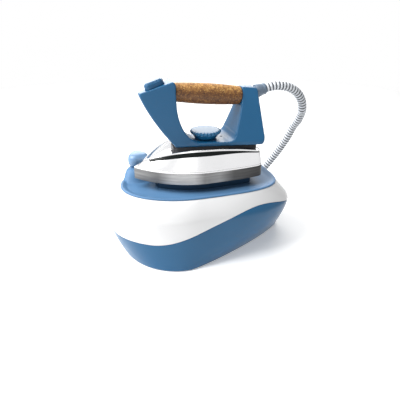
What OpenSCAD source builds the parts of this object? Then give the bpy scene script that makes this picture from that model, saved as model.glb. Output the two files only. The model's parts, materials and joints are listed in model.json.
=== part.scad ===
// Steam-generator clothes iron: an iron with a cork grip, standing on the tray of its boiler base.
// Millimetres. +Z is up and the iron's nose points to -X. The origin is on the table, under the
// middle of the base.

/* [Base] */
// Height of the edge of the tray
rim_z = 114; // [112:1:116]
// Height of the widest line round the base
belt_z = 84; // [80:1:88]
// Half the width of the base at its widest line
belt_half = 103; // [100:1:106]
// Half the width of the base where it meets the table
foot_half = 106; // [100:1:108]
// Half the width of the tray
rim_half = 80; // [78:1:82]
// Wall of the two plastic shells
wall = 3; // [2.4:0.2:3.4]
// Height of the colour split near the nose
split_low = 47; // [44:1:50]
// Height of the colour split at its highest
split_high = 95; // [92:1:98]

/* [Boiler] */
// Radius of the boiler tank
boiler_r = 66; // [60:1:68]
// Height of the boiler tank
boiler_h = 72; // [60:1:74]

/* [Iron] */
// Length of the sole plate
sole_len = 210; // [206:1:214]
// Half the width of the sole plate
sole_half = 57.5; // [56:0.5:58]
// Thickness of the sole plate
sole_t = 18; // [16:1:19]
// Height of the sole plate's underside above the table
sole_z = 129; // [128.5:0.5:131]

/* [Handle] */
// Radius of the cork grip at its ends
grip_end_r = 14.6; // [14:0.1:15]
// Radius of the cork grip at its middle
grip_mid_r = 16.6; // [16:0.1:17]
// Radius of the temperature dial
dial_r = 26; // [18:0.5:28]

/* [Hose] */
// Outer radius of the steam hose
hose_r = 8; // [7:0.5:8]
// Radius of the middle of the coiled turns
coil_r = 90; // [84:1:92]

/* [Hidden] */

blue = "steelblue";
steel = "lightsteelblue";
$fn = 64;

// ---- shared functions ----

function mix(a, b, k) = a + (b - a) * k;
function limit(v) = min(1, max(0, v));
function ease(v) = let (k = limit(v)) k * k * (3 - 2 * k);
function bent(v, e) = sign(v) * pow(abs(v), e);
function arc(c, r, a0, a1, n) = [for (i = [0:n]) let (a = mix(a0, a1, i / n)) c + r * [cos(a), sin(a)]];
function bezier(a, b, c, n) =
    [for (i = [0:n]) let (k = i / n) mix(mix(a, b, k), mix(b, c, k), k)];

// A ring-shaped solid lofted through rings of equal length; the last ring joins the first.
module loft_loop(rings) {
    m = len(rings);
    n = len(rings[0]);
    at = function (j, i) (j % m) * n + i % n;
    polyhedron(
        points = [for (r = rings) each r],
        faces = [for (j = [0:m - 1]) for (i = [0:n - 1])
            each [[at(j, i), at(j + 1, i), at(j + 1, i + 1)], [at(j, i), at(j + 1, i + 1), at(j, i + 1)]]]);
}

// ---- base: plan outlines ----
// Each outline is [widest station, half width, reach ahead, reach behind] and four exponents
// that make its front and tail rounder or squarer.
foot = [-42, foot_half, 94, 204, 1, 1, 1.75, 1.6];
belt = [-27, belt_half, 134, 188, 1.05, 1, 0.7, 0.64];
rim = [-13, rim_half, 120, 147, 1, 1, 0.52, 0.52];
shell_n = 72;
base_z = 1.6;

// Point of an outline at angle t, from 0 at the tail to 180 at the nose, and in mm inside it.
function plan_pt(o, t, in = 0) =
    let (c = cos(t), s = sin(t), front = c < 0)
    [o[0] + ((front ? o[2] : o[3]) - in) * bent(c, front ? o[4] : o[6]),
     (o[1] - in) * bent(s, front ? o[5] : o[7])];

function plan(o, in = 0, n = shell_n) = [for (i = [0:n - 1]) plan_pt(o, 360 * i / n, in)];

// Point of the base's skin at angle t and height z: foot to belt swells, belt to rim leans in.
// Both curves are round at the nose and tighter at the tail, where the belt is a crisp edge.
function shell_xy(t, z, in) =
    let (tail = ease((plan_pt(belt, t)[0] + 60) / 200),
         below = 1 - pow(1 - min(z, belt_z) / belt_z, mix(1.9, 1.5, tail)),
         above = pow(max(0, z - belt_z) / (rim_z - belt_z), mix(1.7, 1.25, tail)))
    z < belt_z ? mix(plan_pt(foot, t, in), plan_pt(belt, t, in), below)
               : mix(plan_pt(belt, t, in), plan_pt(rim, t, in), above);
function shell_pt(t, z, in = 0) = concat(shell_xy(t, z, in), [z]);

// Height of the split between the two shells: low round the nose, high along the flank.
function split_z(t) =
    let (x = plan_pt(belt, t)[0])
    mix(split_low, split_high, ease((x + 103) / 185)) - 20 * pow(max(0, (x - 82) / 80), 2);

// Rings of a shell wall, from low(t) to high(t) outside and back down inside.
function shell_rings(low, high, rows) = concat(
    [for (j = [0:rows]) shell_ring(low, high, j / rows, 0)],
    [for (j = [rows:-1:0]) shell_ring(low, high, j / rows, wall)]);
function shell_ring(low, high, k, in) =
    [for (i = [0:shell_n - 1]) let (t = 360 * i / shell_n) shell_pt(t, mix(low(t), high(t), k), in)];

// ---- base: places ----
hose_gland_at = [80, 68, 45];
mains_gland_at = [130, 22, 45];
boiler_at = [-58, 10, 21];
neck_at = [-95, 44.5];
neck_r = 8.6;
neck_bore = 6.6;
plate_t = 3;
plate_top = base_z + plate_t;
tray_top = rim_z + 3;
tray_floor = rim_z - 1;
seam = 0.4;
feet = [for (p = [[-92, 54], [66, 36]]) for (s = [-1, 1]) [p[0], s * p[1]]];
plate_holes = [for (p = [[-20, 78], [20, 60], [118, 8]]) for (s = [-1, 1]) [p[0], s * p[1]]];

module lower_shell() {
    color(blue) difference() {
        loft_loop(shell_rings(function (t) base_z, function (t) split_z(t) - seam / 2, 8));
        translate(hose_gland_at) rotate([-90, 0, 0]) cylinder(h = 40, r = 10.2);
        translate(mains_gland_at) rotate([0, 90, 0]) cylinder(h = 40, r = 8.2);
    }
}

module upper_shell() {
    color("white")
        loft_loop(shell_rings(function (t) split_z(t) + seam / 2, function (t) rim_z, 10));
}

module base_plate() {
    color("dimgray") difference() {
        translate([0, 0, base_z]) linear_extrude(plate_t)
            polygon([for (i = [0:shell_n - 1]) shell_xy(360 * i / shell_n, base_z, wall + 0.4)]);
        for (p = feet) translate([p[0], p[1], 0]) cylinder(h = 20, r = 3.05);
        for (p = plate_holes) translate([p[0], p[1], 0]) {
            cylinder(h = 20, r = 2.1);
            cylinder(h = base_z + 1.6, r = 4.2);
        }
        for (x = [30:12:90]) translate([x - 2, -14, 0]) cube([4, 28, 20]);
    }
}

module rubber_feet() {
    color("black") for (p = feet) translate([p[0], p[1], 0]) {
        cylinder(h = base_z, r1 = 8, r2 = 9);
        cylinder(h = plate_top, r = 3);
        translate([0, 0, plate_top]) cylinder(h = 1.5, r = 4.4);
    }
}

module plate_screws() {
    color("silver") for (p = plate_holes) translate([p[0], p[1], 0]) difference() {
        union() {
            translate([0, 0, base_z]) cylinder(h = 1.6, r = 4);
            translate([0, 0, base_z]) cylinder(h = 14, r = 2);
        }
        for (a = [0, 90]) rotate(a) translate([-2.5, -0.5, 0]) cube([5, 1, base_z + 0.8]);
    }
}

// ---- base: tray and what stands on it ----
rest_top = sole_z - 2;
bezel_at = [22, 64];
bezel = [50, 13];
lamp_at = [-22, 64];
deck_r = 14.5;
deck_top = 133;

module tray() {
    color(blue) difference() {
        union() {
            translate([0, 0, rim_z]) linear_extrude(tray_top - rim_z) polygon(plan(rim, 0.5));
            translate([0, 0, tray_floor - 3]) linear_extrude(4) polygon(plan(rim, wall + 2));
        }
        translate([0, 0, tray_floor]) linear_extrude(10) polygon(plan(rim, 8));
        translate([neck_at[0], neck_at[1], 90]) cylinder(h = 40, r = 11);
        translate([bezel_at[0] - bezel[0] / 2 + 2, bezel_at[1] - bezel[1] / 2 + 1, 90])
            cube([bezel[0] - 4, bezel[1] - 2, 40]);
        translate([lamp_at[0], lamp_at[1], 90]) cylinder(h = 40, r = 4.1);
    }
}

// Mound with a flat top of radius r at height top, and a hollow-curved skirt down to the tray
module mound(r, skirt, top) {
    rise = top - tray_floor;
    rotate_extrude() polygon(concat([[0, tray_floor]],
        [for (a = [0:7.5:90]) [r + skirt * (1 - sin(a)), tray_floor + (rise - 1.5) * (1 - cos(a))]],
        [[r - 1.5, top], [0, top]]));
}

module filler_deck() {
    color(blue) difference() {
        intersection() {
            union() {
                translate([neck_at[0], neck_at[1], 0]) mound(deck_r, 11, deck_top);
                translate([neck_at[0] - 15, neck_at[1] - 6, 0]) mound(7, 12, deck_top - 5);
                translate([neck_at[0] - 27, neck_at[1] - 20, 0]) mound(3, 10, deck_top - 12);
                translate([neck_at[0] + 12, neck_at[1] + 10, 0]) mound(7, 12, deck_top - 5);
            }
            union() {
                translate([0, 0, tray_floor]) linear_extrude(4.2) polygon(plan(rim, 8.3));
                translate([0, 0, tray_top + 0.1]) linear_extrude(40) polygon(plan(rim, 1));
            }
        }
        translate([neck_at[0], neck_at[1], 90]) cylinder(h = 60, r = 12.2);
        translate([nose_x, 0, 90]) linear_extrude(60) polygon(sole_plan(5.5));
    }
}

// ---- iron: outlines, measured from its nose and from the underside of its sole ----
nose_x = -108;
widest_x = 115;
ogive_r = (pow(widest_x, 2) + pow(sole_half, 2)) / (2 * sole_half);
tail_len = sole_len - widest_x;

// Point of the sole's outline at angle t, in mm inside its sides and tail_in inside its tail: an
// ogive ahead of the widest station, and a nearly straight tail with round corners behind it.
function sole_pt(t, in = 0, tail_in = 0) =
    let (c = cos(t), s = sin(t),
         drop = ogive_r - sole_half,
         reach = sqrt(pow(ogive_r - in, 2) - drop * drop),
         x = widest_x + (c < 0 ? reach * c : (tail_len - tail_in) * bent(c, 0.16)),
         w = c < 0 ? sqrt(max(0, pow(ogive_r - in, 2) - pow(widest_x - x, 2))) - drop
                   : (sole_half - in) * bent(abs(s), 0.16) * (1 - 0.12 * pow((x - widest_x) / tail_len, 2)))
    [x, (s < 0 ? -1 : 1) * max(0, w)];
sole_n = 80;
function sole_plan(in = 0) = [for (i = [0:sole_n - 1]) sole_pt(360 * (i + 0.5) / sole_n, in, in)];

module at_iron(z = 0) { translate([nose_x, 0, sole_z + z]) children(); }

module iron_rest() {
    color(blue) translate([nose_x, 0, tray_floor]) difference() {
        linear_extrude(rest_top - tray_floor)
            polygon([for (p = sole_plan(15)) if (p[0] > 32) p]);
        for (s = [-1, 1]) translate([60, s * 22 - 3.05, rest_top - tray_floor - 2]) cube([120.1, 6.1, 9]);
    }
}

module rest_pads() {
    color("dimgray") translate([nose_x, 0, rest_top - 2]) for (s = [-1, 1])
        translate([60.05, s * 22 - 3, 0]) cube([120, 6, 4]);
}

// ---- base: boiler and its fittings ----
tank_top = boiler_at[2] + boiler_h;

module boiler_tank() {
    color(steel) difference() {
        translate(boiler_at) rotate_extrude() difference() {
            polygon(concat([[0, 0]], arc([boiler_r - 8, 8], 8, -90, 0, 8),
                arc([boiler_r - 6, boiler_h - 6], 6, 0, 90, 8), [[0, boiler_h]]));
            polygon(concat([[-1, 2]], arc([boiler_r - 8, 8], 6, -90, 0, 8),
                arc([boiler_r - 6, boiler_h - 6], 4, 0, 90, 8), [[-1, boiler_h - 2]]));
        }
        translate([neck_at[0], neck_at[1], tank_top - 10]) cylinder(h = 20, r = neck_r + 0.1);
        translate([boiler_at[0] + 40, boiler_at[1], pipe_z]) rotate([0, 90, 0]) cylinder(h = 40, r = 4);
    }
}

module filler_neck() {
    color("goldenrod") translate([neck_at[0], neck_at[1], 0]) difference() {
        union() {
            translate([0, 0, tank_top]) cylinder(h = 4, r = 12);
            translate([0, 0, tank_top - 4]) cylinder(h = deck_top + 1 - tank_top + 4, r = neck_r);
            translate([0, 0, deck_top - 6]) cylinder(h = 7, r = 12);
        }
        cylinder(h = 200, r = neck_bore);
    }
}

module heating_ring() {
    color("gray") translate([boiler_at[0], boiler_at[1], boiler_at[2] - 4.1]) {
        rotate(15) rotate_extrude(angle = 330) translate([44, 0]) circle(r = 4, $fn = 32);
        for (a = [-15, 15]) rotate(a) translate([44, 0, 0]) rotate([90, 0, 0])
            cylinder(h = 6, r = 3.2, center = true);
    }
}

module boiler_stand() {
    color("silver") translate([boiler_at[0], boiler_at[1], plate_top]) for (a = [0:90:270]) rotate(a) {
        translate([50, -7, 0]) cube([20, 14, 2]);
        translate([56, -7, 0]) cube([2, 14, boiler_at[2] - plate_top]);
    }
}

module boiler_thermostat() {
    color("ivory") translate([boiler_at[0] + 18, boiler_at[1] - 20, tank_top]) {
        cylinder(h = 4, r = 8);
        translate([0, 0, 4]) cylinder(h = 5, r = 6);
        for (s = [-1, 1]) translate([s * 4 - 1.5, -0.4, 4]) cube([3, 0.8, 10]);
    }
}

module safety_valve() {
    color("goldenrod") translate([boiler_at[0] + 14, boiler_at[1] + 26, tank_top]) {
        cylinder(h = 4, r = 7, $fn = 6);
        cylinder(h = 9, r = 4.5);
        translate([0, 0, 9]) cylinder(h = 3, r = 2.5);
    }
}

module pressure_switch() {
    color("black") translate([boiler_at[0] + 36, boiler_at[1] - 4, tank_top]) {
        cylinder(h = 3, r = 5, $fn = 6);
        translate([0, 0, 3]) cylinder(h = 9, r = 11);
    }
}

pipe_r = 3.5;
pipe_z = 78;
bend_r = 12;
valve_at = [50, boiler_at[1], 45];

// Quarter bend of a pipe: comes in along +X and leaves along the local +Y.
module quarter_bend(r) {
    translate([0, r, 0]) rotate(-90) rotate_extrude(angle = 90)
        translate([r, 0]) circle(r = pipe_r, $fn = 32);
}

module steam_pipe() {
    start = boiler_at[0] + boiler_r;
    turn_x = valve_at[0] - bend_r;
    color("darkorange") {
        translate([start - 1, boiler_at[1], pipe_z]) rotate([0, 90, 0])
            cylinder(h = turn_x - start + 1, r = pipe_r);
        translate([turn_x, boiler_at[1], pipe_z]) rotate([-90, 0, 0]) quarter_bend(bend_r);
        translate([valve_at[0], valve_at[1], valve_at[2] + 12])
            cylinder(h = pipe_z - bend_r - valve_at[2] - 12, r = pipe_r);
    }
}

module solenoid_valve() {
    color("goldenrod") difference() {
        translate(valve_at - [11, 11, 12]) cube([22, 22, 24]);
        translate(valve_at) cylinder(h = 30, r = 2.5);
        translate(valve_at) rotate([0, 90, 0]) cylinder(h = 30, r = 2.5);
    }
}

module solenoid_coil() {
    color("firebrick") translate(valve_at) rotate([90, 0, 0]) translate([0, 0, 11]) {
        cylinder(h = 30, r = 14);
        cylinder(h = 34, r = 5);
    }
}

module outlet_pipe() {
    turn_x = hose_gland_at[0] - bend_r;
    color("darkorange") {
        translate(valve_at + [11, 0, 0]) rotate([0, 90, 0])
            cylinder(h = turn_x - valve_at[0] - 11, r = pipe_r);
        translate([turn_x, valve_at[1], valve_at[2]]) quarter_bend(bend_r);
        translate([hose_gland_at[0], valve_at[1] + bend_r, valve_at[2]]) rotate([-90, 0, 0])
            cylinder(h = hose_gland_at[1] - valve_at[1] - bend_r, r = pipe_r);
    }
}

module terminal_block() {
    color("ivory") difference() {
        translate([73, -31, plate_top]) cube([34, 18, 14]);
        for (x = [79:11:101]) translate([x, -22, plate_top + 6]) cylinder(h = 20, r = 2.5);
        for (x = [79:11:101]) translate([x, -36, plate_top + 5]) rotate([-90, 0, 0])
            cylinder(h = 40, r = 1.8);
    }
}

module mains_gland() {
    color("black") translate(mains_gland_at) rotate([0, 90, 0]) difference() {
        union() {
            cylinder(h = 4, r = 11);
            cylinder(h = 30, r = 8);
        }
        translate([0, 0, -1]) cylinder(h = 40, r = 3.6);
    }
}

module hose_gland() {
    color("gray") translate(hose_gland_at) rotate([-90, 0, 0]) difference() {
        union() {
            cylinder(h = 4, r = 13);
            cylinder(h = 32, r = 10);
            translate([0, 0, 26]) cylinder(h = 6, r = 12);
        }
        translate([0, 0, 6]) cylinder(h = 40, r = hose_r);
    }
}

// ---- base: switches and lamp ----
rocker_len = 20;
rocker_w = 8.4;
rocker_x = 11.5;
pivot_z = tray_floor + 0.5;

module switch_bezel() {
    color("black") difference() {
        union() {
            translate([bezel_at[0] - bezel[0] / 2, bezel_at[1] - bezel[1] / 2, tray_floor])
                cube([bezel[0], bezel[1], 2]);
            translate([bezel_at[0] - bezel[0] / 2 + 2.2, bezel_at[1] - bezel[1] / 2 + 1.2, tray_floor - 12])
                cube([bezel[0] - 4.4, bezel[1] - 2.4, 12]);
        }
        for (s = [-1, 1]) translate([bezel_at[0] + s * rocker_x, bezel_at[1], 0]) {
            translate([-rocker_len / 2 - 0.6, -rocker_w / 2 - 0.3, tray_floor - 9])
                cube([rocker_len + 1.2, rocker_w + 0.6, 20]);
            translate([0, -8, pivot_z]) rotate([-90, 0, 0]) cylinder(h = 16, r = 1.05);
        }
    }
}

module rocker(x) {
    color("darkred") translate([bezel_at[0] + x, bezel_at[1], pivot_z]) rotate([0, -7, 0]) {
        rotate([90, 0, 0]) translate([0, 0, -rocker_w / 2]) linear_extrude(rocker_w)
            polygon(concat([[9.6, 4.2]], arc([0, 25], 22.6, -65.5, -114.5, 12), [[-9.6, 4.2]],
                arc([0, 6], 10, 200, 340, 10)));
        rotate([90, 0, 0]) translate([0, 0, -rocker_w / 2 - 1]) cylinder(h = rocker_w + 2, r = 1);
    }
}
module rocker_boiler() { rocker(-rocker_x); }
module rocker_iron() { rocker(rocker_x); }

module pilot_lamp() {
    color("orange") translate([lamp_at[0], lamp_at[1], 0]) {
        translate([0, 0, tray_floor - 12]) cylinder(h = 12, r = 4);
        translate([0, 0, tray_floor]) rotate_extrude()
            polygon(concat([[0, 0]], arc([0, 0], 5.5, 0, 90, 10)));
    }
}

// ---- boiler cap ----
seal_z = deck_top + 1;
cap_base = seal_z + 2;

module cap_seal() {
    color("black") translate([neck_at[0], neck_at[1], seal_z]) difference() {
        cylinder(h = 2, r = 12);
        translate([0, 0, -1]) cylinder(h = 4, r = neck_bore + 0.1);
    }
}

// Round-topped lobe of the cap
module cap_lobe() {
    rotate_extrude() polygon([[0, 0], [7, 0], [9, 13], [8, 18], [5, 21], [0, 21]]);
}

module boiler_cap() {
    color(blue) translate([neck_at[0], neck_at[1], cap_base]) {
        cylinder(h = 6, r = 13.5);
        for (a = [100:120:340]) rotate(a) translate([9.5, 0, 0]) cap_lobe();
        rotate_extrude() polygon([[0, 0], [12, 0], [12, 16], [8, 20], [0, 20]]);
        translate([0, 0, -18]) cylinder(h = 18, r = neck_bore - 0.05);
    }
}

// ---- iron: sole and steam chamber ----
leg_y = 27;
bend_x = 50;
leg_len = 130;

// U-shaped rod of radius r whose legs start at bend_x and are leg long
module u_rod(r, leg) {
    for (s = [-1, 1]) translate([bend_x, s * leg_y, 0]) rotate([0, 90, 0]) cylinder(h = leg, r = r);
    translate([bend_x, 0, 0]) rotate(90) rotate_extrude(angle = 180)
        translate([leg_y, 0]) circle(r = r, $fn = 32);
}

module sole_plate() {
    color("silver") at_iron() difference() {
        linear_extrude(sole_t) polygon(sole_plan());
        translate([0, 0, sole_t]) u_rod(3.6, leg_len + 12);
        translate([57, -18, sole_t - 7]) cube([108, 36, 20]);
        for (x = [65:12.5:152.5]) for (y = [-14, 0, 14]) translate([x, y, -1]) cylinder(h = 30, r = 1.6);
    }
}

module sole_element() {
    color("gray") at_iron(sole_t) {
        u_rod(3.5, leg_len);
        for (s = [-1, 1]) translate([bend_x + leg_len, s * leg_y, 0]) rotate([0, 90, 0])
            cylinder(h = 10, r = 1.5);
    }
}

module chamber_lid() {
    color(steel) at_iron(sole_t) difference() {
        union() {
            translate([54, -21, 0]) cube([114, 42, 2]);
            translate([155, 0, 0]) cylinder(h = 8, r = 6);
        }
        translate([155, 0, -1]) cylinder(h = 20, r = 3);
    }
}

module sole_thermostat() {
    color("ivory") at_iron(sole_t + 2) translate([dial_at, 0, 0]) difference() {
        union() {
            cylinder(h = 4, r = 14);
            cylinder(h = 10, r = 11);
        }
        translate([0, 0, 4]) cylinder(h = 10, r = 2.6);
    }
}

module thermal_fuse() {
    color("ivory") at_iron(sole_t + 2) {
        translate([78, 0, 2.5]) rotate([0, 90, 0]) cylinder(h = 16, r = 2.5);
        for (s = [0, 1]) translate([74 + s * 21, -2, 0]) cube([3, 4, 4]);
    }
}

module iron_terminals() {
    color("ivory") at_iron(sole_t + 2) for (s = [-1, 1]) translate([176, s * 12 - 5, 0]) cube([14, 10, 9]);
}

// ---- iron: cover and spacer ----
spacer_z = 37;
spacer_mid = 135;
spacer_half = 70;
handle_z = 52;
dial_at = 123;

// Half width of the handle's side faces: they spread from the front post to the rear one.
function side_w(x) = 18 + (x - 71) * 0.185;
function spacer_pt(t, grow = 0) =
    let (x = spacer_mid + (spacer_half + grow) * bent(cos(t), 0.3))
    [x, (side_w(x) - 3 + grow) * bent(sin(t), 0.3)];
function spacer_plan(grow = 0) = [for (i = [0:sole_n - 1]) spacer_pt(360 * (i + 0.5) / sole_n, grow)];

// Height of the cover's shoulder: it climbs steeply from the nose, and falls a little behind.
shoulder_top = 52;
function shoulder_z(x) = max(sole_t + 4,
    shoulder_top - 33 * pow(max(0, 1 - x / 100), 2.2) - 10.8 * pow(max(0, x / 100 - 1), 2));

// One ring of the cover: k runs up the wall, over the shoulder at 1 and in to the opening at 2.
function cover_ring(k, skin) = [for (i = [0:sole_n - 1]) cover_pt(360 * (i + 0.5) / sole_n, k, skin)];
function cover_pt(t, k, skin) =
    let (wall_in = k < 0.1 ? 1 : 3.5 + 9.5 * pow(min(k, 1), 1.3),
         p = sole_pt(t, wall_in + skin, 0.5 + skin),
         q = spacer_pt(t, 0.4),
         xy = mix(p, q, max(0, k - 1)),
         low = sole_t + (k < 0.1 ? 0.1 + k * 30 : 3),
         wall_z = mix(low, shoulder_z(p[0]), min(k, 1)),
         z = k < 0.1 ? low : mix(wall_z, spacer_z + 1.5, ease(k - 1)) - skin)
    [xy[0], xy[1], max(z, sole_t + 0.1)];

module sole_cover() {
    steps = [0, 0.06, 0.12, 0.4, 0.7, 0.9, 1, 1.12, 1.3, 1.5, 1.75, 2];
    last = len(steps) - 1;
    color("gainsboro") at_iron() loft_loop(concat(
        [for (j = [0:last]) cover_ring(steps[j], 0)],
        [for (j = [last:-1:0]) cover_ring(steps[j], 1.2)]));
}

module heat_spacer() {
    color("darkslategray") at_iron() difference() {
        translate([0, 0, spacer_z]) linear_extrude(handle_z - spacer_z) polygon(spacer_plan());
        translate([0, 0, spacer_z - 1]) linear_extrude(handle_z - spacer_z - 3) polygon(spacer_plan(-3));
        translate([dial_at, 0, 0]) cylinder(h = 300, r = 3.5);
        translate([76, -6, 0]) cube([12, 12, 100]);
        translate([174, -10, 0]) cube([30, 20, 100]);
    }
}

// ---- iron: handle ----
face_tilt = 17.5;
button_x = 41;
beam_z = 58.5;
grip_a = [70.5, 137.3];
grip_b = [181, 125.5];
grip_tilt = atan((grip_a[1] - grip_b[1]) / (grip_b[0] - grip_a[0]));
grip_len = norm(grip_b - grip_a);
function face_z(x) = 139 + (x - 15) * tan(face_tilt);

// Side view of the handle: a C open at the top, where the grip closes it.
handle_profile = concat(
    arc([17, 137.2], 2, 110, 190, 4),
    bezier([15.4, 135], [32.5, 93], [66, 54.5], 16),
    arc([69, 55], 3, 235, 270, 4),
    arc([204.5, 60.5], 8.5, -90, 4, 10),
    arc([203, 134.5], 4, 4, 90, 6),
    arc([185, 136.5], 4, 90, 176, 6),
    bezier([180.6, 123], [177, 101], [166.5, 71], 8),
    arc([153, 71.5], 13, 0, -90, 8),
    [for (a = [90:-7.5:0]) [109 - 38 * cos(a), 126 - (126 - beam_z) * sin(a)]],
    arc([65, 150], 5.5, 0, 80, 8),
    [[58, face_z(58)]]);

// Plan of the handle: a long wedge with rounded ends
lean = atan(0.185);
handle_plan = concat(
    arc([208, side_w(208) - 7], 7, 0, 90 + lean, 8),
    arc([20, side_w(20) - 5], 5, 90 + lean, 180, 8),
    arc([20, 5 - side_w(20)], 5, 180, 270 - lean, 8),
    arc([208, 7 - side_w(208)], 7, 270 - lean, 360, 8));

front_duct = [[30, 127], [58, 127], [60, 113], [63, 100], [69, 85], [78, 71], [88, 61], [88, 45],
    [76, 45], [76, 56], [61, 73], [46, 92], [35, 113]];
rear_duct = [[188, 129], [200, 129], [204, 90], [204, 45], [174, 45], [174, 67], [184, 105]];
rear_lean = 20;

module side_extrude(w) { rotate([90, 0, 0]) translate([0, 0, -w]) linear_extrude(2 * w) children(); }
module at_button() {
    at_iron(face_z(button_x)) translate([button_x, 0, 0]) rotate([0, -face_tilt, 0]) children();
}
module at_grip() {
    at_iron(grip_a[1]) translate([grip_a[0], 0, 0]) rotate([0, 90 + grip_tilt, 0]) children();
}
module at_collar() {
    out = drop_route[1] - drop_route[0];
    translate(drop_route[0]) rotate([0, acos(out[2] / norm(out)), 0]) translate([0, 0, -22]) children();
}

// Slot shape with round ends, along X
module stadium(len, w) {
    square([len - w, w], center = true);
    for (s = [-1, 1]) translate([s * (len - w) / 2, 0]) circle(d = w);
}

screw_spots = [[52, 103], [78, 57], [196, 58]];

module handle_half(side) {
    difference() {
        at_iron() intersection() {
            side_extrude(60) polygon(handle_profile);
            linear_extrude(200) polygon(handle_plan);
            translate([0, side > 0 ? 0 : -60, 0]) cube([240, 60, 200]);
        }
        at_iron() translate([195, side * side_w(195), beam_z]) rotate([0, 0, side * lean])
            rotate([side * rear_lean, 0, 0]) translate([-70, side > 0 ? 0 : -60, 0]) cube([120, 60, 120]);
        at_iron() side_extrude(6.5) polygon(front_duct);
        at_iron() side_extrude(8) polygon(rear_duct);
        at_iron() translate([dial_at, 0, 0]) cylinder(h = 100, r = 3.5);
        at_button() translate([0, 0, -8]) linear_extrude(20) stadium(32, 16);
        at_button() translate([0, 0, -30]) cylinder(h = 30, r = 3.05);
        at_grip() translate([0, 0, -7]) cylinder(h = grip_len + 14, r = 5.05);
        at_grip() cylinder(h = grip_len, r = grip_end_r + 0.3);
        at_collar() translate([0, 0, -12]) cylinder(h = 40, r = 8.2);
        at_collar() translate([0, 0, 3.9]) cylinder(h = 30, r = 11.3);
    }
}
module handle_near() { color(blue) handle_half(-1); }
module handle_far() {
    color(blue) difference() {
        handle_half(1);
        at_iron() for (p = screw_spots) translate([p[0], side_w(p[0]) - 5, p[1]])
            rotate([-90, 0, 0]) cylinder(h = 20, r = 3.6);
    }
}

module handle_screws() {
    color("silver") at_iron() for (p = screw_spots) translate([p[0], side_w(p[0]) - 5, p[1]])
        rotate([-90, 0, 0]) difference() {
            cylinder(h = 2.4, r = 3.4);
            for (a = [0, 90]) rotate(a) translate([-2.2, -0.5, 1.2]) cube([4.4, 1, 3]);
        }
}

module grip_rod() {
    color("silver") at_grip() translate([0, 0, -6.9]) cylinder(h = grip_len + 13.8, r = 5);
}

module cork_grip() {
    swell = function (k) mix(grip_end_r, grip_mid_r, sin(180 * k));
    color("burlywood") at_grip() rotate_extrude() polygon(concat(
        [[5, 0.2]],
        [for (i = [0:12]) let (k = i / 12) [swell(k) - (k > 0.97 ? 1.5 : 0), 0.2 + k * (grip_len - 3.2)]],
        [[5, grip_len - 0.4]]));
}

module hose_collar() {
    color("slategray") at_collar() difference() {
        union() {
            translate([0, 0, -6]) cylinder(h = 10, r = 8.1);
            translate([0, 0, 4]) rotate_extrude()
                polygon([[0, 0], [11, 0], [10.6, 5], [9.4, 12], [8.6, 17.6], [0, 17.6]]);
        }
        translate([0, 0, -10]) cylinder(h = 26, r = 5);
    }
}

module steam_riser() {
    color("darkorange") at_iron() {
        translate([155, 0, sole_t + 8]) cylinder(h = 4, r = 3);
        translate([155, 0, sole_t + 12]) rotate([90, 0, 0]) mirror([1, 0, 0])
            translate([-8, 0, 0]) rotate_extrude(angle = 90) translate([8, 0]) circle(r = 3, $fn = 32);
        translate([163, 0, sole_t + 20]) rotate([0, 90, 0]) cylinder(h = 22, r = 3);
        translate([185, 0, sole_t + 20]) rotate([90, 0, 0]) translate([0, 8, 0]) rotate(-90)
            rotate_extrude(angle = 90) translate([8, 0]) circle(r = 3, $fn = 32);
        translate([193, 0, sole_t + 28]) cylinder(h = 70, r = 3);
    }
}

// ---- iron: steam button and dial ----
module micro_switch() {
    color("black") at_button() translate([-8, -3, -34.5]) cube([16, 6, 8]);
}

module button_spring() {
    rows = 5;
    color("silver") at_button() translate([0, 0, -8]) rotate_extrude() polygon(concat(
        [[3.2, 0]], [for (i = [0:2 * rows]) [i % 2 == 0 ? 4.6 : 4, 5 * i / (2 * rows)]], [[3.2, 5]]));
}

module steam_button() {
    color(blue) at_button() {
        translate([0, 0, -3]) linear_extrude(10) stadium(31.2, 15.2);
        translate([0, 0, 7]) linear_extrude(1.2) stadium(28.8, 12.8);
        translate([0, 0, 8.2]) linear_extrude(0.8) stadium(25, 9);
        translate([0, 0, -21.6]) cylinder(h = 20, r = 3);
    }
}

module dial_spindle() {
    color("silver") at_iron() translate([dial_at, 0, sole_t + 7]) cylinder(h = 40, r = 2.5);
}

module dial() {
    flutes = 26;
    color(blue) at_iron() translate([dial_at, 0, 0]) difference() {
        translate([0, 0, beam_z + 1]) rotate_extrude() polygon([[0, 0], [dial_r - 8, 0],
            [dial_r - 3, 7.8], [dial_r, 9], [dial_r, 12], [dial_r - 1.2, 13.2], [0, 14]]);
        for (i = [0:flutes - 1]) rotate(360 * i / flutes) translate([dial_r + 1.1, 0, beam_z + 8.2])
            cylinder(h = 10, r = 1.9, $fn = 24);
        cylinder(h = sole_t + 47, r = 2.5);
    }
}

module dial_pointer() {
    color("black") at_iron() translate([148.5, -0.8, beam_z]) cube([4.5, 1.6, 0.5]);
}

// ---- steam hose ----
coil_at = [-10, 212];

drop_route = [
    [118, 0, 263], [132, 0, 266], [145, 0, 266], [160, 1, 263], [173, 3, 257], [185, 6, 248],
    [196, 11, 234], [202, 17, 220], [207, 26, 210], [209, 39, 191], [208, 52, 176], [205, 64, 152],
    [201, 76, 131], [195, 87, 110], [186, 97, 88], [174, 106, 66], [158, 113, 46], [139, 118, 30],
    [118, 121, 18], [96, 122, 11], [74, 122, 8], [52, 122, 8], [31, 122, 8], [10, 122, 8], [-10, 122, 8]];
return_route = [[80, 212, 24], [80, 190, 25], [80, 168, 28], [80, 146, 33], [80, 124, 39],
    [80, 106, 43], [80, 92, 45], [80, 74, 45]];

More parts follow.
